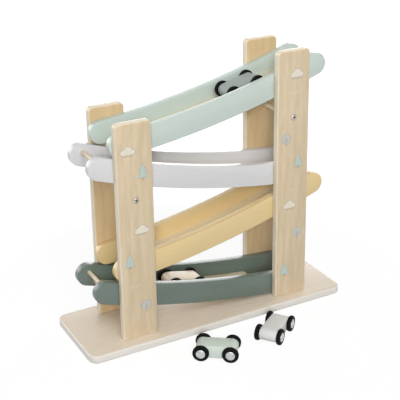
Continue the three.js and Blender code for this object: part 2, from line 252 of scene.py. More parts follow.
class CarTrackSizes(bpy.types.PropertyGroup):
    """Sizes of the boards, rails and cars."""

    edge_round: size("Edge round", "Radius of the rounded board edges", 2.0)
    base_corner: size("Base corner", "Corner radius of the base plate in plan", 12.0)
    post_corner: size("Post corner", "Radius of the posts' top corners", 6.0)
    track_radius: size("Track radius", "Radius of the rails' top edge", 1100.0)
    rail_height: size("Rail height", "Height of a rail across its curve", 28.0)
    rail_edge: size("Rail edge", "Radius of the rails' eased edges", 0.7)
    rail_lower_end: size("Lower end", "Distance of the lower rail end's centre from the middle", 120.0)
    rail_upper_end: size("Upper end", "Distance of the upper rail end's centre from the middle", 147.0)
    floor_depth: size("Floor depth", "Depth of the track floor under the rail's top edge", 19.3)
    floor_thickness: size("Floor thickness", "Thickness of the track floor", 4.0)
    floor_lower_end: size("Floor lower end", "Distance of the floor's lower end from the middle", 76.0)
    floor_upper_end: size("Floor upper end", "Distance of the floor's upper end from the middle", 140.0)
    floor_edge: size("Floor edge", "Radius of the floors' sanded edges", 0.4)
    bar_edge: size("Bar edge", "Chamfer on the dowels' and rods' ends", 0.5)
    shank_radius: size("Screw shank", "Radius of a screw's shank", 1.75)
    shank_point: size("Screw point", "Length of a screw's point", 4.0)
    pan_radius: size("Pan head", "Radius of a pan head", 4.0)
    pan_height: size("Pan height", "Height of a pan head", 2.2)
    pan_edge: size("Pan edge", "Height of a pan head's straight edge", 1.2)
    sunk_radius: size("Sunk head", "Radius of a countersunk head", 3.9)
    sunk_depth: size("Sunk depth", "Depth of a countersunk head's cone", 2.6)
    sunk_edge: size("Sunk edge", "Height of a countersunk head's straight edge", 0.4)
    sink_gap: size("Sink gap", "Gap of the countersunk holes round their screws", 0.3)
    cross_length: size("Cross length", "Length of a screw's cross recess", 4.6)
    cross_width: size("Cross width", "Width of a screw's cross recess", 1.0)
    cross_depth: size("Cross depth", "Depth of a screw's cross recess", 1.2)
    wheel_radius: size("Wheel radius", "Radius of the cars' wheels", 10.0)
    wheel_thickness: size("Wheel thickness", "Thickness of a wheel", 5.0)
    wheel_edge: size("Wheel edge", "Radius of a wheel's rounded shoulders", 1.65)
    wheel_bore: size("Wheel bore", "Radius of a wheel's hole", 1.8)
    seat_depth: size("Seat depth", "Depth of the seat for the axle's cap", 1.4)
    seat_gap: size("Seat gap", "Gap round the axle's cap", 0.3)
    axle_radius: size("Axle radius", "Radius of an axle", 1.5)
    hub_radius: size("Hub radius", "Radius of the axle's domed cap", 5.6)
    hub_rise: size("Hub rise", "Rise of the domed cap over the wheel's face", 0.8)
    car_width: size("Car width", "Width over the wheels' outer faces", 33.6)
    car_body_width: size("Body width", "Width of a car's wooden block", 23.0)
    car_end_radius: size("Body end", "Radius of the round ends of a car's block", 7.8)
    car_edge: size("Body edge", "Radius of the block's sanded edges", 1.6)
    print_depth: size("Print depth", "Thickness of the printed ink", 0.06)
    print_line: size("Print line", "Width of the printed outlines", 0.6)


class CarTrackColours(bpy.types.PropertyGroup):
    """Colours of the woods, paints, inks and metals."""

    post_pale: colour("Post wood, pale", "Early wood of the posts", "#d5c3a6")
    post_deep: colour("Post wood, deep", "Late wood and fibres of the posts", "#c7b393")
    # The back posts' warmer tones are painted warm bounce light: a warmed copy of the post wood for the light
    # the tracks throw on them.
    back_bounce_pale: colour("Back post wood, pale", "Early wood of the warmer back posts", "#d5bc93")
    back_bounce_deep: colour("Back post wood, deep", "Late wood of the warmer back posts", "#c8ac81")
    base_pale: colour("Base wood, pale", "Early wood of the base plate", "#e1d3c1")
    base_deep: colour("Base wood, deep", "Late wood and fibres of the base plate", "#d7c9b5")
    # The edge tones are a painted highlight: the base's edges and sides are paler for the light they catch.
    edge_highlight_pale: colour("Board edge, pale", "Sanded edges of the base plate, early wood", "#dfdbd4")
    edge_highlight_deep: colour("Board edge, deep", "Sanded edges of the base plate, late wood", "#d6d0c6")
    # The posts' edge tones are a painted highlight on their edges and sides as well.
    post_edge_pale: colour("Post edge, pale", "Sanded edges of the posts, early wood", "#e5dac5")
    post_edge_deep: colour("Post edge, deep", "Sanded edges of the posts, late wood", "#dacdb4")
    strip_pale: colour("Strip wood, pale", "Early wood of the track floors", "#eddfc3")
    strip_deep: colour("Strip wood, deep", "Late wood of the track floors", "#e2d2b1")
    bar_pale: colour("Bar wood, pale", "Early wood of the dowels and rods", "#e3d5ba")
    bar_deep: colour("Bar wood, deep", "Late wood of the dowels and rods", "#d5c5a6")
    mint: colour("Mint", "Paint of the top track", "#bdc9c2")
    white: colour("White", "Paint of the second track", "#cdcdce")
    yellow: colour("Straw yellow", "Paint of the third track", "#d7bf8d")
    green: colour("Deep green", "Paint of the bottom track", "#65726a")
    sage: colour("Grey-green", "Paint of the car in the top track", "#959f9a")
    car_pale: colour("Car wood, pale", "Early wood of the plain car", "#e9dcca")
    car_deep: colour("Car wood, deep", "Late wood of the plain car", "#e1d0ba")
    car_mint: colour("Car mint", "Paint of the mint car", "#cbd6cd")
    car_white: colour("Car white", "Paint of the white car", "#d7d7d5")
    ink_mint: colour("Mint ink", "Ink of the printed pines", "#b4c2ba")
    ink_grey: colour("Grey ink", "Ink of the printed round trees", "#bdbcb4")
    ink_line: colour("Line ink", "Ink of the printed outlines", "#a5a299")
    ink_white: colour("White ink", "Ink of the printed clouds and dots", "#ddd4c4")
    ink_tan: colour("Tan ink", "Ink of the printed trunks", "#b49d7b")
    screw: colour("Screw steel", "Plating of the screws", "#c9bfb6")
    # The recess colour is painted shade: a dark sheet stands in for the shade in a screw's cross recess.
    recess: colour("Recess steel", "Steel in the shade of a screw's recess", "#39332f")
    cap: colour("Cap steel", "Plating of the axles' caps", "#c9cecd")
    tyre_pale: colour("Rubber, pale", "High grain of the wheels' rubber", "#0d0e0e")
    tyre_deep: colour("Rubber, deep", "Low grain of the wheels' rubber", "#050505")
    paper: colour("Paper", "Paper sweep under the object", "#b0b0b0")


def sizes():
    """The scene's sizes."""
    return bpy.context.scene.car_track_sizes


def colours():
    """The scene's colours."""
    return bpy.context.scene.car_track_colours


def node(tree, kind, inputs=None, **settings):
    """Adds a node, sets it up, and fills its inputs with values or links.

    A node among the inputs stands for its first output, and an input of many links takes a list.
    """
    made = tree.nodes.new(kind)
    for key, value in settings.items():
        setattr(made, key, value)
    for key, given in (inputs or {}).items():
        socket = made.inputs[key]
        for value in given if socket.is_multi_input else [given]:
            if isinstance(value, bpy.types.Node):
                value = value.outputs[0]
            if isinstance(value, bpy.types.NodeSocket):
                tree.links.new(value, socket)
            else:
                socket.default_value = value
    return made


# Materials


def surface(name):
    """An empty material and its tree."""
    material = bpy.data.materials.new(name)
    material.use_nodes = True
    material.node_tree.nodes.clear()
    return material, material.node_tree


def finish(tree, paint, gloss, relief=None, **fixed):
    """Ends a material in its shader.

    Gloss is a pattern with the roughness at its low and high spots, relief a pattern with its strength and
    depth, and fixed holds the sockets that are the same all over.
    """
    pattern, low, high = gloss
    rough = node(tree, "ShaderNodeMapRange", {"Value": pattern, "To Min": low, "To Max": high})
    inputs = {"Base Color": paint, "Roughness": rough, **fixed}
    if relief:
        pattern, strength, depth = relief
        height = {"Height": pattern, "Strength": strength, "Distance": depth}
        inputs["Normal"] = node(tree, "ShaderNodeBump", height)
    shader = node(tree, "ShaderNodeBsdfPrincipled", inputs)
    node(tree, "ShaderNodeOutputMaterial", {"Surface": shader})


def between(tree, pattern, low, high, first, last):
    """Colour that goes from a first one to a last one as a pattern goes from low to high."""
    share = node(tree, "ShaderNodeMapRange", {"Value": pattern, "From Min": low, "From Max": high})
    return node(tree, "ShaderNodeMix", {0: share, 6: first, 7: last}, data_type="RGBA").outputs[2]


def grain_vector(tree, along, stretch, sway=0.0):
    """Object coordinates squeezed along the fibres, so that a pattern runs with them, and swayed a little."""
    spot = node(tree, "ShaderNodeTexCoord").outputs["Object"]
    if sway:
        inputs = {"Vector": spot, "Scale": 1 / FIBRE_SWAY, "Detail": 1.0}
        drift = node(tree, "ShaderNodeTexNoise", inputs).outputs["Color"]
        off = node(tree, "ShaderNodeVectorMath", {0: drift, 1: [0.5] * 3}, operation="SUBTRACT")
        inputs = {0: off, 1: [sway] * 3, 2: spot}
        spot = node(tree, "ShaderNodeVectorMath", inputs, operation="MULTIPLY_ADD")
    scale = [1.0, 1.0, 1.0]
    scale["XYZ".index(along)] = stretch
    return node(tree, "ShaderNodeMapping", {"Vector": spot, "Scale": scale})


def growth_lines(tree, along):
    """Wavy growth lines that close into long tongues down the board."""
    inputs = {
        "Vector": grain_vector(tree, along, GROWTH_RUN),
        # The node's own bands are 20 radians a unit.
        "Scale": 2 * math.pi / 20 / GROWTH_LINE,
        "Distortion": 7.0,
        "Detail": 2.0,
        "Detail Scale": 0.9,
    }
    across = "Y" if along == "X" else "X"
    return node(tree, "ShaderNodeTexWave", inputs, bands_direction=across).outputs["Fac"]


def lacquered_wood(name, tones, along, face=None, edge_highlight_tones=None):
    """Light wood, sanded and clear-lacquered, with its pale and its deep tone and the axis of its fibres.

    A board also gives the axis that its broad faces look along, and the two tones of its paler edges and
    sides, a painted highlight.
    """
    # To the eye: straight fibres, faint growth lines and a satin sheen, and on a board paler edges and sides,
    # a painted highlight for the light they catch.
    material, tree = surface(name)
    way = grain_vector(tree, along, FIBRE_RUN, FIBRE_SWING)
    inputs = {"Vector": way, "Scale": 1 / FIBRE, "Detail": 3.0, "Roughness": 0.6}
    fibres = node(tree, "ShaderNodeTexNoise", inputs)
    way = grain_vector(tree, along, BAND_RUN, BAND_SWING)
    inputs = {"Vector": way, "Scale": 1 / WOOD_BAND, "Detail": 2.0, "Distortion": 0.6}
    bands = node(tree, "ShaderNodeTexNoise", inputs)
    mixed = node(tree, "ShaderNodeMath", {0: fibres, 1: bands, 2: FIGURE_LIFT}, operation="MULTIPLY_ADD")
    inputs = {0: growth_lines(tree, along), 1: GROWTH_SHARE, 2: mixed}
    figure = node(tree, "ShaderNodeMath", inputs, operation="MULTIPLY_ADD")
    paint = between(tree, figure, *FIGURE_REACH, tones[1], tones[0])
    if face:
        # The normal tells the broad faces from the edges and sides, which run all the way round the board and
        # take the painted highlight.
        normal = node(tree, "ShaderNodeNewGeometry").outputs["Normal"]
        part = node(tree, "ShaderNodeSeparateXYZ", {"Vector": normal}).outputs[face]
        broad = node(tree, "ShaderNodeMath", {0: part}, operation="ABSOLUTE")
        rim = between(tree, figure, *FIGURE_REACH, edge_highlight_tones[1], edge_highlight_tones[0])
        paint = between(tree, broad, *BROAD_REACH, rim, paint)
    finish(tree, paint, (bands, *WOOD_GLOSS), (fibres, *WOOD_RELIEF), IOR=LACQUER_IOR)
    return material


def satin_paint(name, paint, along, gloss):
    """Satin paint sprayed on wood."""
    # To the eye: an even colour with a trace of the fibres under it, and a sheen along the edges.
    material, tree = surface(name)
    inputs = {"Vector": grain_vector(tree, along, SPRAY_RUN), "Scale": 1 / SPRAY_CLOUD, "Detail": 3.0}
    mottle = node(tree, "ShaderNodeTexNoise", inputs)
    way = grain_vector(tree, along, FIBRE_RUN)
    inputs = {"Vector": way, "Scale": 1 / FIBRE_UNDER_PAINT, "Detail": 2.0}
    fibres = node(tree, "ShaderNodeTexNoise", inputs)
    tone = node(tree, "ShaderNodeMath", {0: mottle, 1: SPRAY_SHARE, 2: fibres}, operation="MULTIPLY_ADD")
    inputs = {
        "Value": tone,
        "From Min": PAINT_REACH[0],
        "From Max": PAINT_REACH[1],
        "To Min": PAINT_LEVELS[0],
        "To Max": PAINT_LEVELS[1],
    }
    level = node(tree, "ShaderNodeMapRange", inputs)
    tinted = node(tree, "ShaderNodeVectorMath", {0: paint[:3], "Scale": level}, operation="SCALE")
    finish(tree, tinted, (mottle, *gloss), (fibres, *PAINT_RELIEF), IOR=PAINT_IOR)
    return material


def moulded_rubber(name, pale, deep):
    """Moulded black rubber."""
    # To the eye: near black, with the fine grain of the mould and a dull shine on the shoulders.
    material, tree = surface(name)
    spot = node(tree, "ShaderNodeTexCoord").outputs["Object"]
    grain = node(tree, "ShaderNodeTexNoise", {"Vector": spot, "Scale": 1 / RUBBER_GRAIN, "Detail": 2.0})
    paint = between(tree, grain, *RUBBER_REACH, deep, pale)
    finish(tree, paint, (grain, *RUBBER_GLOSS), (grain, *RUBBER_RELIEF), IOR=RUBBER_IOR)
    return material


def plated_steel(name, tone, gloss):
    """Pressed and zinc-plated steel."""
    # To the eye: pale grey metal with a clouded gloss.
    material, tree = surface(name)
    spot = node(tree, "ShaderNodeTexCoord").outputs["Object"]
    cloud = node(tree, "ShaderNodeTexNoise", {"Vector": spot, "Scale": 1 / PLATING_CLOUD, "Detail": 3.0})
    dull = [DULL_LEVEL * v for v in tone[:3]] + [1.0]
    paint = between(tree, cloud, *PLATING_REACH, dull, tone)
    finish(tree, paint, (cloud, *gloss), Metallic=1.0)
    return material


def printed_ink(name, ink):
    """Ink screen-printed on lacquered wood."""
    # To the eye: a flat, dull colour that breaks up a little on the fibres.
    material, tree = surface(name)
    inputs = {"Vector": grain_vector(tree, "Z", INK_RUN), "Scale": 1 / FIBRE_UNDER_INK, "Detail": 2.0}
    fibres = node(tree, "ShaderNodeTexNoise", inputs)
    inputs = {"Value": fibres, "To Min": INK_LEVELS[0], "To Max": INK_LEVELS[1]}
    level = node(tree, "ShaderNodeMapRange", inputs)
    tinted = node(tree, "ShaderNodeVectorMath", {0: ink[:3], "Scale": level}, operation="SCALE")
    finish(tree, tinted, (fibres, *INK_GLOSS))
    return material


# Meshes


def arc(cx, cz, radius, start, end, steps):
    """Points of an arc; angles count from straight down, towards +X."""
    turns = [start + (end - start) * i / steps for i in range(steps + 1)]
    return [(cx + radius * math.sin(t), cz - radius * math.cos(t)) for t in turns]


def ring(cx, cz, radius, steps):
    """Points of a full circle."""
    return arc(cx, cz, radius, 0, 2 * math.pi, steps)[:-1]


def grown(outline, by):
    """An outline moved outwards by a distance."""
    following = outline[1:] + outline[:1]
    area = sum(a[0] * b[1] - b[0] * a[1] for a, b in zip(outline, following))
    outwards = math.copysign(by, area)
    moved = []
    for before, here, after in zip(outline[-1:] + outline, outline, following):
        along = (Vector(after) - Vector(before)).normalized()
        moved.append((here[0] + along.y * outwards, here[1] - along.x * outwards))
    return moved


def new_object(name, data):
    """An object of its own for a mesh, a light or a camera."""
    made = bpy.data.objects.new(name, data)
    bpy.context.scene.collection.objects.link(made)
    return made


def tidy_mesh(shape, name):
    """Merges doubles, turns the faces outwards and gives a plain mesh."""
    bmesh.ops.remove_doubles(shape, verts=shape.verts, dist=MESH_MERGE)
    bmesh.ops.recalc_face_normals(shape, faces=shape.faces)
    mesh = bpy.data.meshes.new(name)
    shape.to_mesh(mesh)
    shape.free()
    return mesh


def board(name, outline, front, back):
    """Flat piece cut to an outline in the XZ plane, between two values of y."""
    shape = bmesh.new()
    near = [shape.verts.new((x, front, z)) for x, z in outline]
    far = [shape.verts.new((x, back, z)) for x, z in outline]
    shape.faces.new(near)
    shape.faces.new(far)
    for i in range(len(outline)):
        j = (i + 1) % len(outline)
        shape.faces.new((near[i], near[j], far[j], far[i]))
    return new_object(name, tidy_mesh(shape, name))


def lay_flat(made):
    """Lays a standing board down: its outline comes into the XY plane and its thickness points up."""
    made.data.transform(Matrix(((1, 0, 0, 0), (0, 0, 1, 0), (0, 1, 0, 0), (0, 0, 0, 1))))
    made.data.flip_normals()


def turned(name, profile, segments):
    """Piece turned about the Y axis from (radius, y) points."""
    shape = bmesh.new()
    rings = []
    turns = [2 * math.pi * i / segments for i in range(segments)]
    for radius, y in profile:
        if radius == 0:
            rings.append([shape.verts.new((0, y, 0))] * segments)
        else:
            points = [(radius * math.cos(t), y, radius * math.sin(t)) for t in turns]
            rings.append([shape.verts.new(p) for p in points])
    for low, high in zip(rings, rings[1:]):
        for i in range(segments):
            j = (i + 1) % segments
            shape.faces.new(dict.fromkeys((low[i], low[j], high[j], high[i])))
    return new_object(name, tidy_mesh(shape, name))


def rounded(made, width, segments=EDGE_STEPS):
    """Rounds a piece's edges over and keeps its flats flat."""
    bevel = made.modifiers.new("Edge round", "BEVEL")
    bevel.width = width
    bevel.segments = segments
    bevel.limit_method = "ANGLE"
    bevel.angle_limit = math.radians(ROUND_ANGLE)
    made.modifiers.new("Flat shading", "WEIGHTED_NORMAL").keep_sharp = True


def cut(made, tool):
    """Cuts a tool's shape out of a piece and clears the tool away."""
    made.modifiers.new("Cut", "BOOLEAN").object = tool
    settle(made)
    bpy.data.objects.remove(tool)


def settle(made):
    """Turns a piece with its modifiers into a plain mesh."""
    graph = bpy.context.evaluated_depsgraph_get()
    mesh = bpy.data.meshes.new_from_object(made.evaluated_get(graph))
    made.modifiers.clear()
    old = made.data
    made.data = mesh
    bpy.data.meshes.remove(old)
    mesh.name = made.name
    return made


def shade(made, degrees=SHARP_ANGLE):
    """Smooth shading with sharp edges over an angle."""
    made.data.polygons.foreach_set("use_smooth", [True] * len(made.data.polygons))
    made.data.set_sharp_from_angle(angle=math.radians(degrees))


def dress(made, material, body, nodes):
    """Gives a finished piece its material, body and the nodes that it stands for."""
    if not made.data.polygons:
        raise RuntimeError(f"{made.name} came out empty")
    made.data.materials.clear()
    made.data.materials.append(material)
    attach(made, body)
    if nodes:
        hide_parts(*nodes)


# Geometry node trees


def new_tree(name, inputs):
    """An empty tree with its named inputs, and the sockets that give them."""
    tree = bpy.data.node_groups.new(name, "GeometryNodeTree")
    for label, kind in inputs:
        tree.interface.new_socket(label, in_out="INPUT", socket_type="NodeSocket" + kind)
    tree.interface.new_socket("Geometry", in_out="OUTPUT", socket_type="NodeSocketGeometry")
    return tree, node(tree, "NodeGroupInput").outputs


def end_tree(tree, shape, material):
    """Makes the copies real, gives them the material and ends the tree."""
    real = node(tree, "GeometryNodeRealizeInstances", {"Geometry": shape})
    done = node(tree, "GeometryNodeSetMaterial", {"Geometry": real, "Material": material})
    node(tree, "NodeGroupOutput", {"Geometry": done})


def use_tree(made, tree, values):
    """Adds a tree to an object, its inputs set by their identifiers."""
    modifier = made.modifiers.new(tree.name, "NODES")
    modifier.node_group = tree
    for item in tree.interface.items_tree:
        if item.in_out == "INPUT" and item.name in values:
            modifier[item.identifier] = values[item.name]


def curved_rail_tree():
    """A board between two arcs of one centre, with full-round ends."""
    tree, given = new_tree(
        "Curved rail",
        [
            ("Geometry", "Geometry"),
            ("Top Radius", "Float"),
            ("Height", "Float"),
            ("Thickness", "Float"),
            ("Left Angle", "Float"),
            ("Right Angle", "Float"),
            ("Place", "Vector"),
            ("Material", "Material"),
        ],
    )
    # Angles count from straight down, so a quarter turn comes off for the arc node.
    left, right = [
        node(tree, "ShaderNodeMath", {0: given[end], 1: QUARTER}, operation="SUBTRACT")
        for end in ("Left Angle", "Right Angle")
    ]
    sweep = node(tree, "ShaderNodeMath", {0: right, 1: left}, operation="SUBTRACT")
    half = node(tree, "ShaderNodeMath", {0: given["Height"], 1: 0.5}, operation="MULTIPLY")
    middle = node(tree, "ShaderNodeMath", {0: given["Top Radius"], 1: half}, operation="ADD")
    bottom = node(tree, "ShaderNodeMath", {0: given["Top Radius"], 1: given["Height"]}, operation="ADD")
    edges = []
    for radius in (given["Top Radius"], bottom):
        inputs = {"Resolution": RAIL_POINTS, "Radius": radius, "Start Angle": left, "Sweep Angle": sweep}
        edges.append(node(tree, "GeometryNodeCurveArc", inputs))
    for angle, turn in ((left, math.pi), (right, 0.0)):
        start = node(tree, "ShaderNodeMath", {0: angle, 1: turn}, operation="ADD")
        inputs = {"Resolution": RAIL_END_POINTS, "Radius": half, "Start Angle": start, "Sweep Angle": math.pi}
        end = node(tree, "GeometryNodeCurveArc", inputs)
        across = node(tree, "ShaderNodeMath", {0: angle}, operation="COSINE")
        up = node(tree, "ShaderNodeMath", {0: angle}, operation="SINE")
        way = node(tree, "ShaderNodeCombineXYZ", {"X": across, "Y": up})
        spot = node(tree, "ShaderNodeVectorMath", {0: way, "Scale": middle}, operation="SCALE")
        edges.append(node(tree, "GeometryNodeTransform", {"Geometry": end, "Translation": spot}))
    outline = node(tree, "GeometryNodeJoinGeometry", {"Geometry": edges})
    wires = node(tree, "GeometryNodeCurveToMesh", {"Curve": outline})
    whole = node(tree, "GeometryNodeMergeByDistance", {"Geometry": wires, "Distance": OUTLINE_MERGE})
    loop = node(tree, "GeometryNodeMeshToCurve", {"Mesh": whole})
    face = node(tree, "GeometryNodeFillCurve", {"Curve": loop}, mode="NGONS")
    rise = node(tree, "ShaderNodeCombineXYZ", {"Z": given["Thickness"]})
    raised = node(tree, "GeometryNodeExtrudeMesh", {"Mesh": face, "Offset": rise, "Individual": False})
    under = node(tree, "GeometryNodeFlipFaces", {"Mesh": face})
    shell = node(tree, "GeometryNodeJoinGeometry", {"Geometry": [raised, under]})
    closed = node(tree, "GeometryNodeMergeByDistance", {"Geometry": shell, "Distance": SHELL_MERGE})
    inputs = {"Geometry": closed, "Translation": given["Place"], "Rotation": Euler((QUARTER, 0, 0))}
    stood = node(tree, "GeometryNodeTransform", inputs)
    end_tree(tree, stood, given["Material"])
    return tree


def copies_tree():
    """A piece copied to each point of a mesh, turned by the point's own angles."""
    inputs = [("Geometry", "Geometry"), ("Piece", "Object"), ("Material", "Material")]
    tree, given = new_tree("Copies at places", inputs)
    piece = node(tree, "GeometryNodeObjectInfo", {"Object": given["Piece"]}).outputs["Geometry"]
    angles = node(tree, "GeometryNodeInputNamedAttribute", {"Name": "turn"}, data_type="FLOAT_VECTOR")
    turn = node(tree, "FunctionNodeEulerToRotation", {"Euler": angles})
    inputs = {"Points": given["Geometry"], "Instance": piece, "Rotation": turn}
    laid = node(tree, "GeometryNodeInstanceOnPoints", inputs)
    end_tree(tree, laid, given["Material"])
    return tree


def copies(name, piece, places, material):
    """One mesh of a piece's copies at (point, turn) places; the pattern piece stays for the next use."""
    points = bpy.data.meshes.new(name)
    points.from_pydata([point for point, _ in places], [], [])
    turns = points.attributes.new("turn", "FLOAT_VECTOR", "POINT")
    turns.data.foreach_set("vector", [angle for _, turn in places for angle in turn])
    made = new_object(name, points)
    tree = bpy.data.node_groups.get("Copies at places") or copies_tree()
    use_tree(made, tree, {"Piece": piece, "Material": material})
    return settle(made)


def middle_of(name):
    """Middle of a node's box."""
    low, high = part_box(name)
    return (low + high) / 2


def joint_place(name):
    """Place of a joint in the frame."""
    found = [joint for joint in frame["joints"] if joint["name"] == name]
    if not found:
        raise RuntimeError(f"no joint {name} in the frame")
    return Vector(found[0]["pos_m"])


def car_matrix(car):
    """Frame of a car, ahead, left, up, at the middle between its axles, and its wheelbase."""
    front, rear = (joint_place(f"{car}_{end}_spin") for end in ENDS)
    ahead = (front - rear).normalized()
    left = Vector((0, 0, 1)).cross(ahead).normalized()
    turn = Matrix((ahead, left, ahead.cross(left))).transposed().to_4x4()
    return Matrix.Translation((front + rear) / 2) @ turn, (front - rear).length


def track_centre(index):
    """Centre of a track's arcs, x and z."""
    x, z = TRACK_LOWS[index]
    return x * MM, z * MM + sizes().track_radius


def track_angles(index, lower, upper, radius):
    """Angles of a track's two ends on its arc, left one first."""
    cx, _ = track_centre(index)
    down = math.copysign(1, cx)
    return [math.asin((x - cx) / radius) for x in sorted((down * lower, -down * upper))]


# Operators


class CARTRACK_OT_base(bpy.types.Operator):
    """Build the base plate with its countersunk holes"""

    bl_idname = "cartrack.base"
    bl_label = "Base Plate"

    def execute(self, context):
        s, c = sizes(), colours()
        low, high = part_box("base_plate")
        r = s.base_corner
        right, back = high.x - r, high.y - r
        outline = []
        for turn, (x, y) in enumerate(((right, -back), (right, back), (-right, back), (-right, -back))):
            outline += arc(x, y, r, turn * QUARTER, (turn + 1) * QUARTER, BASE_CORNER_STEPS)
        plate = board("base_plate_board", outline, low.z, high.z)
        lay_flat(plate)
        rounded(plate, s.edge_round)
        bore, mouth = s.shank_radius + s.sink_gap, s.sunk_radius + s.sink_gap
        depth = s.sunk_depth + s.sink_gap
        cone = [(0, -depth), (bore, -depth), (mouth, -s.sunk_edge), (mouth, s.sink_gap), (0, s.sink_gap)]
        sink = turned("sink", cone, SCREW_SEGMENTS)
        spots = [middle_of(f"base_screw_{post}") for post in POSTS]
        holes = copies("sinks", sink, [((p.x, p.y, low.z), (-QUARTER, 0, 0)) for p in spots], None)
        bpy.data.objects.remove(sink)
        cut(plate, holes)
        shade(plate)
        # The base's edges and sides get the paler tones of a painted highlight.
        edges = (c.edge_highlight_pale, c.edge_highlight_deep)
        wood = lacquered_wood("Lacquered light wood, base", (c.base_pale, c.base_deep), "X", "Z", edges)
        dress(plate, wood, BODY, ["base_plate"])
        return {"FINISHED"}


class CARTRACK_OT_posts(bpy.types.Operator):
    """Build the four posts with rounded tops and eased edges"""

    bl_idname = "cartrack.posts"
    bl_label = "Posts"

    def execute(self, context):
        s, c = sizes(), colours()
        # The posts' edges and sides get the paler tones of a painted highlight.
        edges = (c.post_edge_pale, c.post_edge_deep)
        # The back posts get a warmer copy of the wood as painted warm bounce light.
        tones = {"front": (c.post_pale, c.post_deep), "back": (c.back_bounce_pale, c.back_bounce_deep)}
        woods = {}
        for side, pair in tones.items():
            woods[side] = lacquered_wood(f"Lacquered light wood, {side} posts", pair, "Z", "Y", edges)
        for post in POSTS:
            low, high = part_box(f"post_{post}")
            r = s.post_corner
            outline = [(low.x, low.z), (high.x, low.z)]
            outline += arc(high.x - r, high.z - r, r, QUARTER, 2 * QUARTER, POST_CORNER_STEPS)
            outline += arc(low.x + r, high.z - r, r, 2 * QUARTER, 3 * QUARTER, POST_CORNER_STEPS)
            made = board(f"post_{post}_board", outline, low.y, high.y)
            rounded(made, s.edge_round)
            settle(made)
            shade(made)
            dress(made, woods[post.split("_")[0]], BODY, [f"post_{post}"])
        return {"FINISHED"}


class CARTRACK_OT_rails(bpy.types.Operator):
    """Build the eight curved rails from the rail tree"""

    bl_idname = "cartrack.rails"
    bl_label = "Curved Rails"

    def execute(self, context):
        s, c = sizes(), colours()
        tree = curved_rail_tree()
        middle = s.track_radius + s.rail_height / 2
        finishes = (("mint", c.mint), ("white", c.white), ("yellow", c.yellow), ("green", c.green))
        for index, (slot, paint) in enumerate(finishes):
            material = satin_paint(f"Satin paint, {slot}", paint, "X", RAIL_GLOSS)
            left, right = track_angles(index, s.rail_lower_end, s.rail_upper_end, middle)
            cx, cz = track_centre(index)
            for side in ("front", "back"):
                name = f"rail_{index + 1}_{side}"
                low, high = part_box(name)
                values = {
                    "Top Radius": s.track_radius,
                    "Height": s.rail_height,
                    "Thickness": high.y - low.y,
                    "Left Angle": left,
                    "Right Angle": right,
                    "Place": (cx, high.y, cz),
                    "Material": material,
                }
                made = new_object(f"{name}_board", bpy.data.meshes.new(name))
                use_tree(made, tree, values)
                rounded(made, s.rail_edge)
                settle(made)
                shade(made)
                dress(made, material, BODY, [name])
        return {"FINISHED"}


class CARTRACK_OT_floors(bpy.types.Operator):
    """Build the four track floors"""

    bl_idname = "cartrack.floors"
    bl_label = "Track Floors"

    def execute(self, context):
        s, c = sizes(), colours()
        wood = lacquered_wood("Lacquered light wood, floors", (c.strip_pale, c.strip_deep), "X")
        radius = s.track_radius + s.floor_depth
        for index in range(len(TRACK_LOWS)):
            name = f"floor_{index + 1}"
            low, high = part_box(name)
            cx, cz = track_centre(index)
            left, right = track_angles(index, s.floor_lower_end, s.floor_upper_end, radius)
            outline = arc(cx, cz, radius + s.floor_thickness, left, right, FLOOR_STEPS)
            outline += arc(cx, cz, radius, right, left, FLOOR_STEPS)
            made = board(f"{name}_strip", outline, low.y, high.y)
            rounded(made, s.floor_edge, FLOOR_EDGE_STEPS)
            settle(made)
            shade(made)
            dress(made, wood, BODY, [name])
        return {"FINISHED"}


class CARTRACK_OT_bars(bpy.types.Operator):
    """Build the stop dowels and spacer rods"""

    bl_idname = "cartrack.bars"
    bl_label = "Dowels and Rods"

    def execute(self, context):
        c, ease = colours(), sizes().bar_edge
        wood = lacquered_wood("Lacquered light wood, bars", (c.bar_pale, c.bar_deep), "Y")
        names = [f"stop_dowel_{track + 1}" for track in range(len(TRACK_LOWS))]
        names += [f"spacer_rod_{hand}" for hand in HANDS]
        for name in names:
            low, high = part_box(name)
            radius, reach = (high.x - low.x) / 2, (high.y - low.y) / 2
            end = [(radius, reach - ease), (radius - ease, reach), (0, reach)]
            start = [(r, -y) for r, y in reversed(end)]
            made = turned(f"{name}_bar", start + end, BAR_SEGMENTS)
            made.data.transform(Matrix.Translation((low + high) / 2))
            shade(made)
            dress(made, wood, BODY, [name])
        return {"FINISHED"}


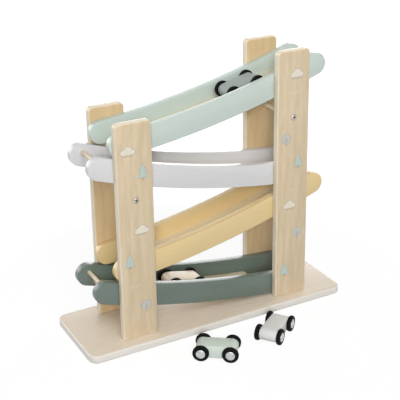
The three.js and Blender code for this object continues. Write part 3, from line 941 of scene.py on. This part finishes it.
class CARTRACK_OT_screws(bpy.types.Operator):
    """Place the cross-head screws with the copies tree"""

    bl_idname = "cartrack.screws"
    bl_label = "Screws"

    def plus(self, length, width):
        """Outline of a cross."""
        a, b = length / 2, width / 2
        quarter = [(a, -b), (a, b), (b, b)]
        turns = ((1, 0), (0, 1), (-1, 0), (0, -1))
        return [(x * u - z * v, x * v + z * u) for u, v in turns for x, z in quarter]

    def pan_head(self, s):
        """Half profile of a low dome."""
        rise = s.pan_height - s.pan_edge
        turns = [i * QUARTER / PAN_STEPS for i in range(PAN_STEPS)]
        dome = [(s.pan_radius * math.cos(t), s.pan_edge + rise * math.sin(t)) for t in turns]
        return [(s.shank_radius, 0), (s.pan_radius, 0)] + dome + [(0, s.pan_height)]

    def sunk_head(self, s):
        """Half profile of a cone flush with the board."""
        rim = [(s.sunk_radius, -s.sunk_edge), (s.sunk_radius, 0)]
        return [(s.shank_radius, -s.sunk_depth)] + rim + [(0, 0)]

    def places(self, label, level):
        """Place and turn of each screw of a kind, where its head's seat is."""
        spots = []
        for post in POSTS:
            low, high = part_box(f"{label}_screw_{post}")
            centre = (low + high) / 2
            if label == "base":
                spots.append(((centre.x, centre.y, low.z), (-QUARTER, 0, BASE_CROSS_TURN)))
            elif post.startswith("front"):
                spot = (centre.x, low.y + level, centre.z)
                spots.append((spot, (math.pi, FRONT_CROSS_TURN, 0)))
            else:
                spot = (centre.x, high.y - level, centre.z)
                spots.append((spot, (0, BACK_CROSS_TURN, 0)))
        return spots

    def execute(self, context):
        s, c = sizes(), colours()
        steel = plated_steel("Zinc-plated steel, screws", c.screw, SCREW_GLOSS)
        # The second finish is painted shade, laid as dark sheets in the cross recesses.
        shaded = plated_steel("Zinc-plated steel, shaded recess", c.recess, STEEL_GLOSS)
        kinds = (("spacer", self.pan_head(s), s.pan_height), ("base", self.sunk_head(s), 0.0))
        for label, head, level in kinds:
            low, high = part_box(f"{label}_screw_front_left")
            tip = level - max(high - low)
            profile = [(0, tip), (s.shank_radius, tip + s.shank_point)] + head
            piece = turned(f"{label}_screw", profile, SCREW_SEGMENTS)
            cross = self.plus(s.cross_length, s.cross_width)
            cut(piece, board("cross", cross, level - s.cross_depth, level + s.cross_depth))
            places = self.places(label, level)
            made = copies(f"{label}_screws", piece, places, steel)
            bpy.data.objects.remove(piece)
            shade(made)
            dress(made, steel, BODY, [f"{label}_screw_{post}" for post in POSTS])
            # A dark sheet in the lower half of each recess is painted shade, for the shade that fills it.
            long, wide = RECESS_SHADE_SHARES
            floor = self.plus(long * s.cross_length, wide * s.cross_width)
            inlay = board("inlay", floor, level - s.cross_depth, level - s.cross_depth / 2)
            recess_shade = copies(f"{label}_screw_recesses", inlay, places, shaded)
            bpy.data.objects.remove(inlay)
            dress(recess_shade, shaded, BODY, [])
        return {"FINISHED"}


class CARTRACK_OT_cars(bpy.types.Operator):
    """Build the four cars' wooden blocks"""

    bl_idname = "cartrack.cars"
    bl_label = "Car Blocks"

    def execute(self, context):
        s, c = sizes(), colours()
        plain = lacquered_wood("Lacquered light wood, car", (c.car_pale, c.car_deep), "X")
        finishes = {
            "sage": (satin_paint("Satin paint, grey-green", c.sage, "X", CAR_GLOSS), "sage_paint"),
            "wood": (plain, "car_wood"),
            "mint": (satin_paint("Satin paint, car mint", c.car_mint, "X", CAR_GLOSS), "car_mint_paint"),
            "white": (satin_paint("Satin paint, car white", c.car_white, "X", CAR_GLOSS), "car_white_paint"),
        }
        half = s.car_body_width / 2
        for car in CARS:
            matrix, wheelbase = car_matrix(car)
            outline = arc(wheelbase / 2, 0, s.car_end_radius, 0, math.pi, CAR_END_STEPS)
            outline += arc(-wheelbase / 2, 0, s.car_end_radius, math.pi, 2 * math.pi, CAR_END_STEPS)
            made = board(f"car_{car}_block", outline, -half, half)
            rounded(made, s.car_edge)
            settle(made)
            made.data.transform(matrix)
            shade(made)
            material, slot = finishes[car]
            dress(made, material, f"car_{car}", [f"car_{car}_body"])
        return {"FINISHED"}


class CARTRACK_OT_wheels(bpy.types.Operator):
    """Turn the axles and place the wheels with the copies tree"""

    bl_idname = "cartrack.wheels"
    bl_label = "Wheels and Axles"

    def wheel_profile(self, s):
        """Closed profile of a wheel with round shoulders and a seat for the cap."""
        face, edge, seat = s.wheel_thickness / 2, s.wheel_edge, s.hub_radius + s.seat_gap
        crown = s.wheel_radius - edge
        tread = arc(crown, edge - face, edge, 0, QUARTER, SHOULDER_STEPS)
        tread += arc(crown, face - edge, edge, QUARTER, math.pi, SHOULDER_STEPS)
        lip = [(seat + s.seat_gap, face), (seat, face - s.seat_gap)]
        floor = [(seat, face - s.seat_depth), (s.wheel_bore, face - s.seat_depth)]
        return [(s.wheel_bore, -face)] + tread + lip + floor + [(s.wheel_bore, -face)]

    def axle_profile(self, s):
        """Profile of an axle from one domed cap to the other."""
        half = s.car_width / 2
        turns = [i * QUARTER / CAP_STEPS for i in range(CAP_STEPS + 1)]
        dome = [(s.hub_radius * math.sin(t), half + s.hub_rise * math.cos(t)) for t in turns]
        under = half - s.seat_depth + s.seat_gap
        cap = dome + [(s.hub_radius, under), (s.axle_radius, under)]
        return cap + [(r, -y) for r, y in reversed(cap)]

    def execute(self, context):
        s, c = sizes(), colours()
        rubber = moulded_rubber("Moulded black rubber", c.tyre_pale, c.tyre_deep)
        steel = plated_steel("Plated steel, axle caps", c.cap, STEEL_GLOSS)
        wheel = turned("wheel", self.wheel_profile(s), WHEEL_SEGMENTS)
        out = (s.car_width - s.wheel_thickness) / 2
        for car in CARS:
            matrix, wheelbase = car_matrix(car)
            for end, along in zip(ENDS, (wheelbase / 2, -wheelbase / 2)):
                body = f"car_{car}_{end}"
                places = [((along, out, 0), (0, 0, 0)), ((along, -out, 0), (math.pi, 0, 0))]
                tyres = copies(f"{body}_tyres", wheel, places, rubber)
                tyres.data.transform(matrix)
                shade(tyres, TURNED_SHARP_ANGLE)
                dress(tyres, rubber, body, [f"{body}_wheel_{hand}" for hand in HANDS])
                pin = turned(f"{body}_pin", self.axle_profile(s), AXLE_SEGMENTS)
                pin.data.transform(matrix @ Matrix.Translation((along, 0, 0)))
                shade(pin, TURNED_SHARP_ANGLE)
                dress(pin, steel, body, [f"{body}_axle"])
        bpy.data.objects.remove(wheel)
        return {"FINISHED"}


class CARTRACK_OT_prints(bpy.types.Operator):
    """Print plain trees, clouds and dots on the front posts"""

    bl_idname = "cartrack.prints"
    bl_label = "Prints"

    def stamp(self, name, outline, places, ink, depth):
        """One mesh of a motif's copies, its outline in millimetres, sunk into the posts' faces a little."""
        piece = board(name, [(x * MM, z * MM) for x, z in outline], -depth, depth)
        spots = []
        for post, across, height in places:
            low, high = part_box(f"post_{post}")
            spots.append((((low.x + high.x) / 2 + across * MM, low.y, height * MM), (0, 0, 0)))
        made = copies(f"print_{name}", piece, spots, ink)
        bpy.data.objects.remove(piece)
        dress(made, ink, BODY, [])

    def motifs(self, line):
        """Name, outline, places, ink and layer of each motif.

        Outlines are in millimetres, round x = 0 and up from the motif's foot. A filled motif lies on a copy
        of itself that is grown by a line's width.
        """
        branch = [(7.0, 3), (3.4, 8.5), (5.6, 8.5), (2.4, 13.5), (3.8, 13.5)]
        pine = branch + [(0, 20)] + [(-x, z) for x, z in reversed(branch)]
        trunk = [(-0.9, 0), (0.9, 0), (0.9, 3.4), (-0.9, 3.4)]
        crown = ring(0, 10, 6.4, CROWN_STEPS)
        twig = [(0.5, 6.6), (2.6, 9), (2, 9.6), (0.5, 8.1)]
        stem = [(-0.5, 0), (0.5, 0)] + twig + [(0.5, 12.5), (-0.5, 12.5)]
        stem += [(-x, z - 1) for x, z in reversed(twig)]
        cloud = arc(6, 3.2, 3.2, 0, 2.4, PUFF_STEPS) + arc(0.6, 5.2, 5, 1.7, 4.2, TOP_PUFF_STEPS)
        cloud += arc(-6, 3, 3, 3.5, 2 * math.pi, PUFF_STEPS)
        bar = [(7, -1.4), (7, -2.1), (-7, -2.1), (-7, -1.4)]
        filled = (
            ("pines", pine, PINES, "mint"),
            ("crowns", crown, ROUND_TREES, "grey"),
            ("clouds", cloud, CLOUDS, "white"),
        )
        rows = []
        for name, outline, places, ink in filled:
            rows.append((f"{name}_line", grown(outline, line), places, "line", 1))
            rows.append((name, outline, places, ink, 2))
        rows.append(("trunks", trunk, PINES, "tan", 2))
        rows.append(("stems", stem, ROUND_TREES, "line", 3))
        rows.append(("bars", bar, CLOUDS, "line", 2))
        for name, across in (("first", -5), ("second", 0), ("third", 5)):
            rows.append((f"{name}_dots", ring(across, 0, 0.9, DOT_STEPS), DOT_ROWS, "white", 2))
        return rows

    def execute(self, context):
        s, c = sizes(), colours()
        inks = {}
        for label in ("mint", "grey", "line", "white", "tan"):
            inks[label] = printed_ink(f"Screen-print ink, {label}", getattr(c, f"ink_{label}"))
        for name, outline, places, ink, layer in self.motifs(s.print_line / MM):
            self.stamp(name, outline, places, inks[ink], layer * s.print_depth / 2)
        return {"FINISHED"}


class CARTRACK_OT_stage(bpy.types.Operator):
    """Set up the pale floor, the soft light and the camera"""

    bl_idname = "cartrack.stage"
    bl_label = "Stage"

    def lamp(self, name, spot, width, watts):
        """A round soft light that looks at the object."""
        light = bpy.data.lights.new(name, "AREA")
        light.shape = "DISK"
        light.size = width
        light.energy = watts
        made = new_object(name, light)
        made.location = spot
        way = Vector(LIGHT_AIM) - Vector(spot)
        made.rotation_euler = way.to_track_quat("-Z", "Y").to_euler()

    def floor(self):
        """A paper sweep that takes the object's shadow and burns out to white further off."""
        half = SWEEP_HALF
        corners = [(-half, -half), (half, -half), (half, half), (-half, half)]
        sheet = board("floor_sheet", corners, -SWEEP_DEPTH, 0.0)
        lay_flat(sheet)
        material, tree = surface("White paper sweep")
        paper = node(tree, "ShaderNodeBsdfDiffuse", {"Color": colours().paper})
        glow = node(tree, "ShaderNodeEmission", {"Strength": SWEEP_GLOW})
        spot = node(tree, "ShaderNodeTexCoord").outputs["Object"]
        inputs = {
            "Value": node(tree, "ShaderNodeVectorMath", {0: spot}, operation="LENGTH").outputs["Value"],
            "From Min": BURN_REACH[0],
            "From Max": BURN_REACH[1],
            "To Min": BURN_SHARES[0],
            "To Max": BURN_SHARES[1],
        }
        burn = node(tree, "ShaderNodeMapRange", inputs)
        rays = node(tree, "ShaderNodeLightPath").outputs
        inputs = {0: rays["Is Camera Ray"], 1: rays["Is Glossy Ray"]}
        seen = node(tree, "ShaderNodeMath", inputs, operation="MAXIMUM")
        share = node(tree, "ShaderNodeMath", {0: seen, 1: burn}, operation="MULTIPLY")
        mixed = node(tree, "ShaderNodeMixShader", {0: share, 1: paper, 2: glow})
        node(tree, "ShaderNodeOutputMaterial", {"Surface": mixed})
        sheet.data.materials.append(material)

    def studio(self):
        """White round the object; only reflections see the lit panel that gives the edges their sheen."""
        world = bpy.data.worlds.new("Studio")
        world.use_nodes = True
        tree = world.node_tree
        tree.nodes.clear()
        rays = node(tree, "ShaderNodeLightPath").outputs
        way = node(tree, "ShaderNodeTexCoord").outputs["Generated"]
        off = node(tree, "ShaderNodeVectorMath", {0: way, 1: PANEL_WAY}, operation="DOT_PRODUCT")
        inputs = {
            "Value": off.outputs["Value"],
            "From Min": PANEL_EDGE[0],
            "From Max": PANEL_EDGE[1],
            "To Min": WALL_LEVEL,
            "To Max": PANEL_LEVEL,
        }
        wall = node(tree, "ShaderNodeMapRange", inputs)
        behind = node(tree, "ShaderNodeSeparateXYZ", {"Vector": way}).outputs["Y"]
        inputs = {"Value": behind, "From Max": WALL_SLANT, "To Min": FRONT_LEVEL, "To Max": wall}
        mirrored = node(tree, "ShaderNodeMapRange", inputs)
        inputs = {"Value": rays["Is Camera Ray"], "To Min": ROOM_LEVELS[0], "To Max": ROOM_LEVELS[1]}
        room = node(tree, "ShaderNodeMapRange", inputs)
        strength = node(tree, "ShaderNodeMix", {0: rays["Is Glossy Ray"], 2: room, 3: mirrored})
        sky = node(tree, "ShaderNodeBackground", {"Color": (1, 1, 1, 1), "Strength": strength})
        node(tree, "ShaderNodeOutputWorld", {"Surface": sky})
        return world

    def camera(self):
        """The picture's camera."""
        lens = bpy.data.cameras.new("Camera")
        lens.sensor_width = SENSOR
        lens.lens = FOCAL / PICTURE * SENSOR
        lens.shift_x = 0.5 - PRINCIPAL[0] / PICTURE
        lens.shift_y = PRINCIPAL[1] / PICTURE - 0.5
        made = new_object("Camera", lens)
        yaw, pitch, roll = (math.radians(angle) for angle in (YAW, PITCH, ROLL))
        ahead = Vector((math.sin(yaw), math.cos(yaw), 0)) * math.cos(pitch)
        ahead.z = -math.sin(pitch)
        level = Vector((math.cos(yaw), -math.sin(yaw), 0))
        upright = level.cross(ahead)
        right = level * math.cos(roll) + upright * math.sin(roll)
        up = upright * math.cos(roll) - level * math.sin(roll)
        turn = Matrix((right, up, -ahead)).transposed().to_4x4()
        made.matrix_world = Matrix.Translation(Vector(EYE) * MM) @ turn
        return made

    def execute(self, context):
        scene = context.scene
        scene.view_settings.view_transform = "Standard"
        self.floor()
        scene.world = self.studio()
        for light in LIGHTS:
            self.lamp(*light)
        scene.camera = self.camera()
        return {"FINISHED"}


STEPS = ("base", "posts", "rails", "floors", "bars", "screws", "cars", "wheels", "prints", "stage")


class CARTRACK_PT_panel(bpy.types.Panel):
    """Lists the builders and the values that they use"""

    bl_idname = "CARTRACK_PT_panel"
    bl_label = "Car Track"
    bl_space_type = "VIEW_3D"
    bl_region_type = "UI"
    bl_category = "Car Track"

    def draw(self, context):
        for step in STEPS:
            self.layout.operator(f"cartrack.{step}")
        for group in (context.scene.car_track_sizes, context.scene.car_track_colours):
            box = self.layout.box()
            for key in group.__annotations__:
                box.prop(group, key)


CLASSES = (
    CarTrackSizes,
    CarTrackColours,
    CARTRACK_OT_base,
    CARTRACK_OT_posts,
    CARTRACK_OT_rails,
    CARTRACK_OT_floors,
    CARTRACK_OT_bars,
    CARTRACK_OT_screws,
    CARTRACK_OT_cars,
    CARTRACK_OT_wheels,
    CARTRACK_OT_prints,
    CARTRACK_OT_stage,
    CARTRACK_PT_panel,
)


def register():
    """Makes the values, the builders and the panel known."""
    for item in CLASSES:
        bpy.utils.register_class(item)
    bpy.types.Scene.car_track_sizes = PointerProperty(type=CarTrackSizes)
    bpy.types.Scene.car_track_colours = PointerProperty(type=CarTrackColours)


def unregister():
    """Takes them back out, last one first."""
    del bpy.types.Scene.car_track_colours
    del bpy.types.Scene.car_track_sizes
    for item in reversed(CLASSES):
        bpy.utils.unregister_class(item)


def main():
    """Builds the whole object."""
    register()
    for step in STEPS:
        getattr(bpy.ops.cartrack, step)()


if __name__ == "__main__":
    main()
